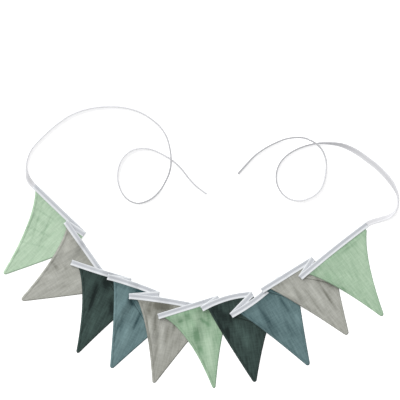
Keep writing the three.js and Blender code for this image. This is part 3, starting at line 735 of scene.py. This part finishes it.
def soft_route(points, count):
    """Even places on a smooth line through the route's points: x, y and lean."""
    points = np.array(points, float)
    before, after = 2 * points[0] - points[1], 2 * points[-1] - points[-2]
    points = np.concatenate([[before], points, [after]])
    found = []
    for p0, p1, p2, p3 in zip(points, points[1:], points[2:], points[3:]):
        pairs = ((p0, p1), (p1, p2), (p2, p3))
        d0, d1, d2 = (np.sqrt(np.linalg.norm((b - a)[:2])) for a, b in pairs)
        way_in = ((p1 - p0) / d0 - (p2 - p0) / (d0 + d1) + (p2 - p1) / d1) * d1
        way_out = ((p2 - p1) / d1 - (p3 - p1) / (d1 + d2) + (p3 - p2) / d2) * d1
        for t in np.linspace(0, 1, TIE["fine"], endpoint=False):
            found.append(p1 + way_in * t + (3 * (p2 - p1) - 2 * way_in - way_out) * t**2
                         + (2 * (p1 - p2) + way_in + way_out) * t**3)
    found = np.array(found + [points[-2]])
    spans = np.linalg.norm(np.diff(found[:, :2], axis=0), axis=1)
    walked = np.concatenate([[0], np.cumsum(spans)])
    wanted = np.linspace(TIE["gap"], walked[-1], count)
    return wanted, np.stack([np.interp(wanted, walked, found[:, n]) for n in range(3)], axis=1)


def tie_section():
    """A tie's section, once round: off is across the tape and rise is above its middle."""
    half, thick = TIE["width"] / 2, TIE["thick"] / 2
    left = [(way_in - half, share * thick) for way_in, share in TIE_EDGE]
    upper = left + [(-off, rise) for off, rise in reversed(left[:-1])]
    lower = [(off, -rise) for off, rise in reversed(upper)]
    return [(-half, 0)] + upper + [(half, 0)] + lower


def make_tie(name, tie, material):
    walked, places = soft_route(tie["route"], TIE["rings"])
    spots = places[:, 0] + 1j * places[:, 1]
    ways = unit(np.gradient(spots))
    lean = np.radians(np.clip(places[:, 2], 0, 90))
    half = len(spots) // 2
    near = np.abs(spots - tie["crosses"])
    over = np.argmin(near[:half]) if tie["over"] == "first" else half + np.argmin(near[half:])
    away = np.clip(np.abs(walked - walked[over]) / TIE["rise_half"], 0, 1)
    lift = TIE["rise"] * (1 + np.cos(np.pi * away)) / 2
    height = TIE["width"] / 2 * np.cos(lean) + TIE["thick"] / 2 * np.sin(lean) + lift
    section = tie_section()
    rings, flat = [], []
    for spot, way, turn, z, length in zip(spots, ways, lean, height, walked):
        side = Vector(((-1j * way).real, (-1j * way).imag, 0))
        across = side * math.sin(turn) + Vector((0, 0, math.cos(turn)))
        face = side * -math.cos(turn) + Vector((0, 0, math.sin(turn)))
        middle = Vector((spot.real, spot.imag, z))
        ring = [middle + across * off + face * rise for off, rise in section]
        rings.append(ring + ring[:1])
        flat.append([(length, off) for off, _ in section] + [(length, section[0][0])])
    tube, order = spread_grid(name, rings, flat)
    upright = tube.verts.layers.float.new("upright")
    for vert, (ring, _) in zip(tube.verts, order):
        vert[upright] = math.cos(lean[ring])
    bmesh.ops.remove_doubles(tube, verts=tube.verts, dist=0.01 * MM)
    rims = [edge for edge in tube.edges if edge.is_boundary]
    bmesh.ops.holes_fill(tube, edges=rims, sides=0)
    for edge in rims:
        edge.smooth = False
    bmesh.ops.recalc_face_normals(tube, faces=tube.faces)
    piece = finish_piece(f"{name}_cotton", tube, material, name)
    path = [(spot.real * MM, spot.imag * MM, z * MM) for spot, z in zip(spots, height)]
    length = sum(math.dist(a, b) for a, b in zip(path, path[1:]))


def tape_profile():
    """The folded strip's line from the turned-under edge of one leaf, round the fold, to the other:
    off is across the tape, away from the fold, and rise is above its middle."""
    half = TAPE["width"] / 2
    upper = [(half - way_in, rise) for way_in, rise in LEAF]
    lower = [(off, -rise) for off, rise in reversed(upper)]
    return upper + [(half - FOLD_AT, 0)] + lower


def binding_rings(legs, stations):
    """The tape's sections one after another: spot, across, height, turn, side, way out, length."""
    corners = Corners("binding")
    half = TAPE["width"] / 2
    known = [
        np.array([
            corners.middle(leg.spot(share, -half), upper=m == 0 and n > 0)
            for m, share in enumerate(stations[n])
        ])
        for n, leg in enumerate(legs)
    ]
    rings, length = [], 0.0
    for n, leg in enumerate(legs):
        places = [0.0]
        for m, span in enumerate(np.diff(stations[n]) * leg.length):
            places.extend(steps(m, m + 1, max(1, round(span / TAPE["step"]))))
        shares = np.interp(places, np.arange(len(stations[n])), stations[n])
        heights = np.maximum(TAPE["thick"] / 2, through(known[n], np.array(places)))
        for share, z in zip(shares, heights):
            walked = length + share * leg.length
            rings.append((leg.at(share), leg.across(share), z, 0.0, leg.side, 0j, walked))
        length += leg.length
        if n + 1 == len(legs):
            return rings, length
        out, low = leg.turn(), known[n][-1]
        radius = (known[n + 1][0] - low) / 2
        for angle in steps(0, math.pi, FINE["turn"])[:-1]:
            spot = leg.at(1) + out * radius * math.sin(angle)
            z = low + radius * (1 - math.cos(angle))
            rings.append((spot, leg.across(1), z, angle, leg.side, out, length))


def make_binding(legs, stations, material):
    profile = tape_profile()
    spans = [math.dist(a, b) for a, b in zip(profile, profile[1:])]
    walked_across = np.concatenate([[0], np.cumsum(spans)])
    rings, length = binding_rings(legs, stations)
    spots, flat = [], []
    for spot, across, z, angle, side, out, walked in rings:
        lean, upright = math.sin(angle) * side, math.cos(angle) * side
        ring = []
        for off, rise in profile:
            place = spot + across * off - out * lean * rise
            ring.append((place.real, place.imag, z + upright * rise))
        spots.append(ring)
        flat.append([(walked, off) for off in walked_across])
    strip, _ = spread_grid("binding_tape", spots, flat)
    piece = finish_piece("binding_tape", strip, material, "binding")
    thicken(piece, TAPE["leaf"], np.ones(len(piece.data.vertices)))


def room_above(tree, spots):
    """The clear height over each point of a layer's top, up to a limit."""
    found = np.full(len(spots), ROOM["limit"])
    up, reach = Vector((0, 0, 1)), ROOM["limit"] * MM
    for n, (x, y, z) in enumerate(spots):
        start = Vector((x, y, z + ROOM["start"])) * MM
        hit, normal, _, _ = tree.ray_cast(start, up, reach)
        if hit is not None and normal.z > 0:
            hit, _, _, _ = tree.ray_cast(hit + up * ROOM["onward"] * MM, up, reach)
        if hit is not None:
            found[n] = max(0.0, hit.z / MM - z)
    return found


def neighbours(values):
    """A grid of values moved by one place to each of its four sides."""
    padded = np.pad(values, 1, mode="edge")
    return [padded[:-2, 1:-1], padded[2:, 1:-1], padded[1:-1, :-2], padded[1:-1, 2:]]


def least_room(values):
    """The lowest value at each place of a grid or beside it, evened out."""
    values = np.minimum.reduce([values, *neighbours(values)])
    for _ in range(ROOM["passes"]):
        values = sum(neighbours(values), values * 2) / 6
    return values


def ripples(flat, seed):
    """How high the low folds stand at each place on the cloth as cut."""
    found = np.zeros(flat.shape[:2])
    for i, column in enumerate(flat):
        for j, (across, down) in enumerate(column):
            for n, row in enumerate(RIPPLES):
                place = Vector((across / row["across"] + down / row["slant"], down / row["down"],
                                seed + NEXT_RIPPLE * n))
                found[i, j] += noise.noise(place) * row["rise"]
    return found


def creased(plan, creases):
    """How high the listed creases stand at each point, and how much paler or darker they are painted
    there, as painted light and shade.
    """
    rise, tone = np.zeros(plan.shape), np.zeros(plan.shape)
    for start, end, wide, height, pale in creases:
        way = end - start
        along = np.clip(dot(plan - start, way) / abs(way) ** 2, 0, 1)
        away = np.abs(plan - start - along * way) / wide
        fade = 1 - CREASE["fade"] * np.abs(2 * along - 1) ** CREASE["fade_power"]
        rise += height * fade * np.exp(-(away * CREASE["rise"]) ** 2)
        # A crease's tone is painted shade in its hollows and painted light on its ridges.
        tone += pale * fade * np.exp(-(away * CREASE["tone"]) ** 2)
    return rise, tone


def edge_distance(spots, shape):
    """How far each point of the cloth as cut is from its sewn sides, and the way there."""
    side, tip = (np.linspace(0, 1, EDGE_STEPS[part]) for part in ("side", "tip"))
    left_end, right_end = shape.left.at(1), shape.right.at(1)
    line = np.concatenate([
        shape.left.at(side), shape.arc(left_end, shape.tip, tip),
        shape.arc(shape.tip, right_end, tip), shape.right.at(side),
    ])
    ways = line - spots[..., None]
    nearest = np.abs(ways).argmin(axis=-1)[..., None]
    way = np.take_along_axis(ways, nearest, axis=-1)[..., 0]
    return np.abs(way), way / np.maximum(np.abs(way), 0.001)


def lay_pennant(node, row, run, back, places):
    """A pennant on the CAD model's own heights: where each crossing of its grid lies, its height, its
    place on the unfolded cloth, the turn that each column has made round the fold, and the outline."""
    corners = Corners(node)
    columns, flap_columns, rows = places
    coarse = plan_cloth(row, run, back, *cad_places())
    fine = plan_cloth(row, run, back, columns, flap_columns, rows)
    plan = unfolded = fine["main"]
    height = settled(corners, coarse, "main", False, columns, rows)
    lean = np.zeros(len(columns))
    if back:
        flap_height = settled(corners, coarse, "flap", True, flap_columns, rows)
        angles = steps(0, math.pi, FINE["turn"])[:-1]
        radius = (flap_height[0] - height[-1]) / 2
        turn = plan[-1] + np.outer(np.sin(angles), run.turn() * radius)
        turn_height = height[-1] + np.outer(1 - np.cos(angles), radius)
        at_fold = np.repeat(unfolded[-1:], len(angles), axis=0)
        plan = np.concatenate([plan, turn, fine["flap"]])
        height = np.concatenate([height, turn_height, flap_height])
        unfolded = np.concatenate([unfolded, at_fold, fine["unfolded"]])
        lean = np.concatenate([lean, angles, np.full(len(flap_columns), math.pi)])
    return plan, height, unfolded, lean, fine["shape"]


def cloth_lift(folds, creases, edge):
    """How high the cloth stands over its resting place: its puff, its rim, and what is folded in."""
    rim = smooth(CLOTH["rim"] + CLOTH["rim_fall"], CLOTH["rim"], edge)
    inside = smooth(*CLOTH["creased"], edge)
    lift = CLOTH["puff"] + CLOTH["rim_rise"] * rim + inside * (folds + creases)
    return np.clip(lift, 0, None) * smooth(0, CLOTH["roll"], edge)


def edge_seam_and_painted_light(edge, outward, below_tape):
    """Painted light and shade, with the seam: a painted highlight on the rolled edge and painted shade
    where it turns from the lamp, a darker line along the seam, and painted shade near the tape.
    """
    side = math.radians(LIGHT["lamp_from"])
    lit = dot(outward, complex(math.cos(side), math.sin(side)))
    # Painted highlight on the rolled edge, and painted shade where the edge turns from the lamp.
    painted_edge_light = TONE["edge"] + TONE["shaded_edge"] * np.minimum(0, lit)
    past_seam = edge - CLOTH["rim"] - TONE["seam_past_rim"]
    seam = np.exp(-(past_seam / TONE["seam_width"]) ** 2)
    # Painted shade on the cloth just below the tape.
    painted_tape_shade = smooth(TONE["tape_reach"], 0, below_tape)
    return (painted_edge_light * smooth(*TONE["edge_reach"], edge)
            - TONE["seam"] * seam - TONE["painted_tape_shade"] * painted_tape_shade)


def make_pennant(number, row, run, back, places, tree, materials):
    node = f"pennant_{number:02d}"
    plan, height, unfolded, lean, shape = lay_pennant(node, row, run, back, places)
    rows = places[2]
    at_tape = np.argmax(rows >= 1)
    top_middle = (unfolded[0, at_tape] + shape.right.at(0)) / 2
    cut = (unfolded - top_middle) / unit(row["tip"] - top_middle)
    flat = np.stack([-cut.imag, cut.real], axis=-1)

    edge, outward = edge_distance(unfolded, shape)
    below_tape = cut.real - cut.real[:, at_tape:at_tape + 1]
    from_fold = np.full(height.shape, np.inf)
    if back:
        from_fold = np.abs(((unfolded - run.at(1)) * np.conj(unit(run.end_crease))).imag)
    calm = smooth(0, CLOTH["calm"], below_tape) * smooth(0, CLOTH["calm"], from_fold)
    creases, crease_painted_light_and_shade = creased(plan, CREASES[number])
    folds = ripples(flat, number * NEXT_PENNANT)
    lift = cloth_lift(folds, creases, edge) * calm

    half = CLOTH["thick"] / 2
    tops = np.stack([plan.real, plan.imag, height + half], axis=-1)
    room = least_room(room_above(tree, tops.reshape(-1, 3)).reshape(height.shape))
    lift = np.minimum(lift, np.maximum(0, room - CLOTH["clear"]))
    lift *= np.abs(np.cos(lean))[:, None] ** CLOTH["turn_calm"]
    height = np.maximum(half + CLOTH["off_floor"], height) + lift

    spots = np.stack([plan.real, plan.imag, height], axis=-1)
    cloth, order = spread_grid(node, spots, flat)
    piece = finish_piece(f"{node}_cloth", cloth, materials[row["cloth"]], node)
    at_edge = blend(CLOTH["thin_at_edge"], 1, smooth(0, CLOTH["edge"], edge))
    in_tape = np.where(rows[None, :] <= 1, CLOTH["thin_in_tape"], 1)
    at = tuple(np.array(order).T)
    thicken(piece, CLOTH["thick"], np.minimum(at_edge, in_tape)[at])
    # The tone is painted light and shade: each pennant's painted brightness, its creases and folds, its
    # edges and the shade below the tape, with a darker line along the seam.
    tone = row["pale"] + crease_painted_light_and_shade + TONE["folds"] * folds + edge_seam_and_painted_light(edge, outward, below_tape)
    point_values(piece, "tone", tone[at])


def cad_tree():
    """Every CAD solid in one tree, to find the room between the layers."""
    points, triangles = [], []
    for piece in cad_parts.values():
        start = len(points)
        points.extend(vertex.co.copy() for vertex in piece.data.vertices)
        triangles.extend([start + n for n in face.vertices] for face in piece.data.polygons)
    return BVHTree.FromPolygons(points, triangles)


def cloth_stations(legs):
    """The places on each leg where the CAD model's tape has its sections."""
    found = []
    for row, run, back in stretches(legs):
        plan = plan_cloth(row, run, back, *cad_places())
        shares = [0.0, *plan["main_share"]]
        if not back and shares[-1] < RUN_END:
            shares.append(1.0)
        found.append(np.array(shares))
        if back:
            found.append(np.array([*plan["flap_share"], 1.0]))
    return found


def make_floor():
    sheet = bmesh.new()
    bmesh.ops.create_grid(sheet, x_segments=1, y_segments=1, size=FLOOR["size"])
    bmesh.ops.translate(sheet, verts=sheet.verts, vec=(0, 0, -FLOOR["drop"] * MM))
    n = Nodes("pale_floor")
    n.set(n.shader, {"Base Color": (*[FLOOR["colour"]] * 3, 1), "Roughness": 0.9,
                     "Specular IOR Level": 0.1, "Emission Color": (1, 1, 1, 1),
                     "Emission Strength": FLOOR["glow"]})
    floor = to_object("floor", sheet, n.material)


def make_light():
    world = bpy.data.worlds.new("soft_room")
    world.use_nodes = True
    background = world.node_tree.nodes["Background"]
    background.inputs["Color"].default_value = (1, 1, 1, 1)
    background.inputs["Strength"].default_value = LIGHT["sky"]
    bpy.context.scene.world = world
    data = bpy.data.lights.new("window_light", "SUN")
    data.energy = LIGHT["lamp"]
    data.angle = math.radians(LIGHT["lamp_spread"])
    lamp = bpy.data.objects.new("window_light", data)
    height, side = math.radians(LIGHT["lamp_height"]), math.radians(LIGHT["lamp_from"])
    level = math.cos(height)
    towards = Vector((math.cos(side) * level, math.sin(side) * level, math.sin(height)))
    lamp.rotation_euler = towards.to_track_quat("Z", "Y").to_euler()
    bpy.context.scene.collection.objects.link(lamp)
    bpy.context.scene.view_settings.view_transform = "Standard"


make_camera()
tie_cotton = cotton_tape("tie_cotton", COTTONS["tie"])
make_tie("tie_left", TIE_LEFT, tie_cotton)
make_tie("tie_right", TIE_RIGHT, tie_cotton)

legs = plan_tape()
stations = cloth_stations(legs)
make_binding(legs, stations, cotton_tape("binding_cotton", COTTONS["binding"]))

muslins = {cloth: muslin(f"{cloth}_muslin", *colours) for cloth, colours in MUSLINS.items()}
layers = cad_tree()
fine = fine_places()
for number, (row, run, back) in enumerate(stretches(legs), start=1):
    make_pennant(number, row, run, back, fine, layers, muslins)

make_floor()
make_light()
